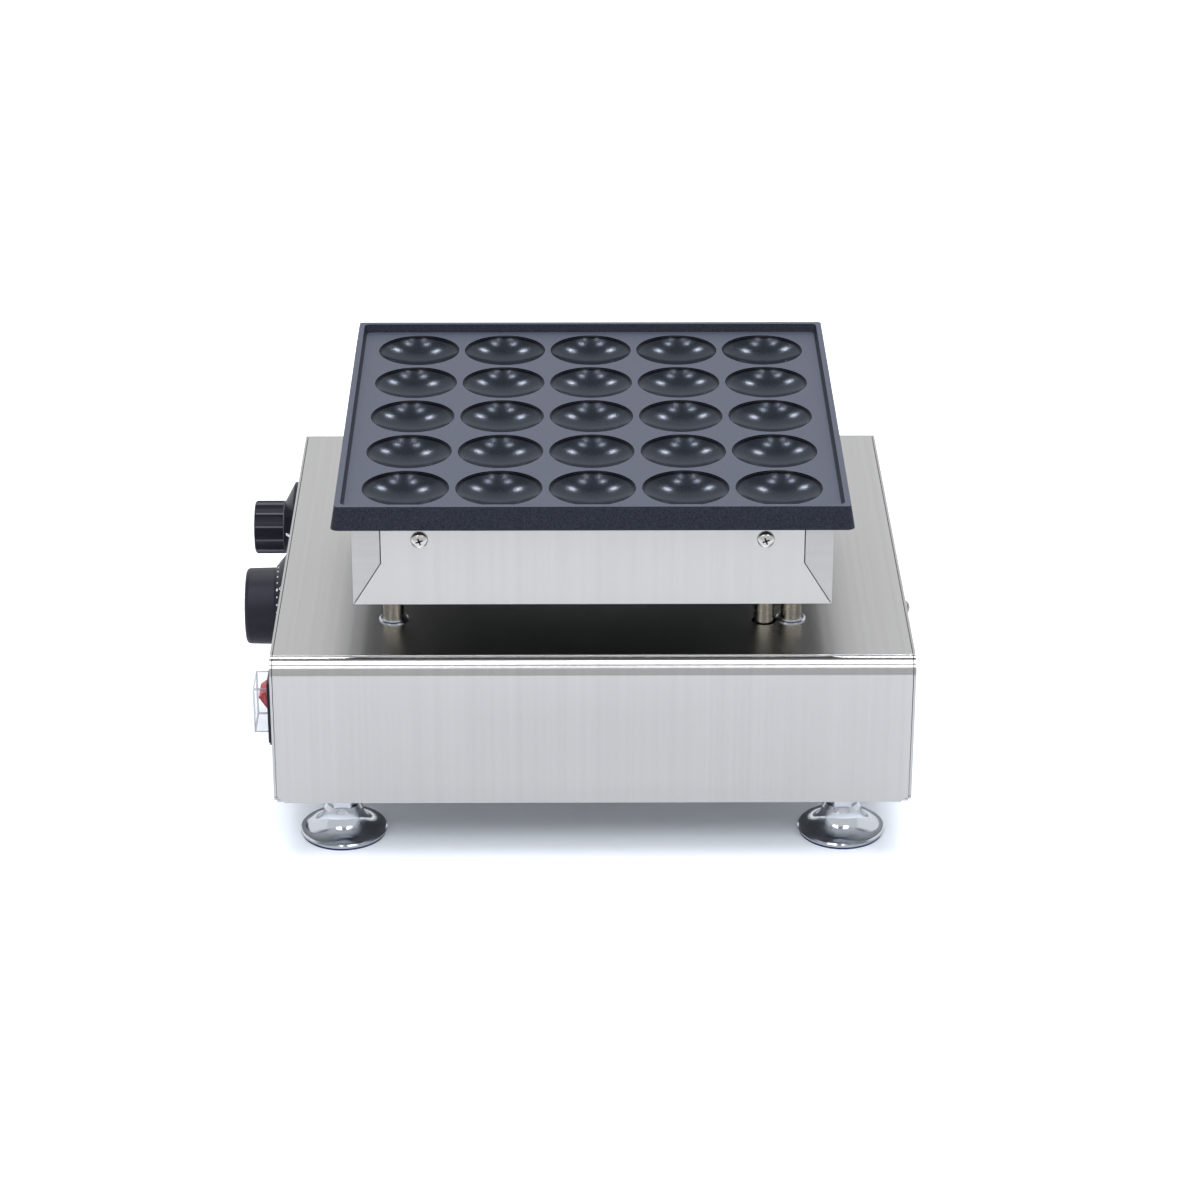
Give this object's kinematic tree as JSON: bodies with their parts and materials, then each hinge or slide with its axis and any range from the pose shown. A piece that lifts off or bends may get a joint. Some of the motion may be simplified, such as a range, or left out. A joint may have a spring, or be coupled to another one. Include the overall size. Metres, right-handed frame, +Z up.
{
  "type": "mini pancake maker",
  "caption": "Countertop grill for small round pancakes: cast plate of round moulds on a heater box over a sheet base with controls and levelling feet.",
  "frame": {"origin": "on the floor, under the middle of the whole machine's box, knobs and gland included", "axes": "+Z up, +X to the right as seen from the front, +Y to the rear"},
  "size_m": [0.367, 0.328, 0.1945],
  "materials": {
    "base_steel": "vertical grain, satin",
    "box_steel": "fine grain, brighter",
    "chrome": "polished",
    "nickel": "nickel plated, semi-bright",
    "zinc": "bright zinc plated",
    "non_stick": "dark non-stick coating on a casting, satin",
    "knob_black": "moulded, fine satin",
    "rocker_red": "gloss",
    "clear_cover": "clear soft moulding",
    "pad_blue": "dark blue, matte",
    "ceramic_board": "pressed ceramic fibre",
    "reflector": "mill finish",
    "element_sheath": "heat-stained sheath",
    "copper": "drawn copper",
    "control_case": "moulded",
    "gland_black": "moulded nylon",
    "block_white": "moulded"
  },
  "bodies": {
    "base": {"housing_wrap": "base_steel", "control_panel": "base_steel", "side_panel": "base_steel", "side_panel_screw": "nickel", "bottom_cover": "base_steel", "bottom_cover_screws": "zinc", "foot_nuts": "zinc", "post_washers": "chrome", "post_bolts": "zinc", "post_nuts": "zinc", "wire_conduit": "nickel", "heater_pan": "box_steel", "heater_side_left": "box_steel", "heater_side_right": "box_steel", "heater_screws": "nickel", "insulation_board": "ceramic_board", "heat_reflector": "reflector", "heating_element": "element_sheath", "element_clamps": "zinc", "thermostat_bulb": "copper", "capillary_tube": "copper", "grill_plate": "non_stick", "thermostat_body": "control_case", "timer_body": "control_case", "panel_nuts": "zinc", "switch_body": "knob_black", "switch_cover": "clear_cover", "cable_gland": "gland_black", "cable_gland_nut": "gland_black", "terminal_block": "block_white", "post_front_left": "nickel", "post_front_right": "nickel", "post_rear_left": "nickel", "post_rear_right": "nickel"},
    "thermostat_dial": {"thermostat_knob": "knob_black", "thermostat_shaft": "zinc"},
    "timer_dial": {"timer_knob": "knob_black", "timer_shaft": "zinc"},
    "rocker": {"switch_rocker": "rocker_red"},
    "foot_front_left": {"foot_bell_front_left": "chrome", "foot_stud_front_left": "zinc", "foot_pad_front_left": "pad_blue"},
    "foot_front_right": {"foot_bell_front_right": "chrome", "foot_stud_front_right": "zinc", "foot_pad_front_right": "pad_blue"},
    "foot_rear_left": {"foot_bell_rear_left": "chrome", "foot_stud_rear_left": "zinc", "foot_pad_rear_left": "pad_blue"},
    "foot_rear_right": {"foot_bell_rear_right": "chrome", "foot_stud_rear_right": "zinc", "foot_pad_rear_right": "pad_blue"}
  },
  "joints": [
    {"name": "thermostat_turn", "type": "hinge", "parent": "base", "child": "thermostat_dial", "pos_m": [-0.1555, 0.096, 0.0775], "axis": [1, 0, 0], "range_deg": [0, 290]},
    {"name": "timer_turn", "type": "hinge", "parent": "base", "child": "timer_dial", "pos_m": [-0.1555, -0.011, 0.0775], "axis": [1, 0, 0], "range_deg": [0, 300]},
    {"name": "rocker_tip", "type": "hinge", "parent": "base", "child": "rocker", "pos_m": [-0.156, -0.129, 0.0775], "axis": [0, 1, 0], "range_deg": [0, 32]},
    {"name": "foot_front_left_level", "type": "slide", "parent": "base", "child": "foot_front_left", "axis": [0, 0, -1], "range_m": [0, 0.01]},
    {"name": "foot_front_right_level", "type": "slide", "parent": "base", "child": "foot_front_right", "axis": [0, 0, -1], "range_m": [0, 0.01]},
    {"name": "foot_rear_left_level", "type": "slide", "parent": "base", "child": "foot_rear_left", "axis": [0, 0, -1], "range_m": [0, 0.01]},
    {"name": "foot_rear_right_level", "type": "slide", "parent": "base", "child": "foot_rear_right", "axis": [0, 0, -1], "range_m": [0, 0.01]}
  ]
}
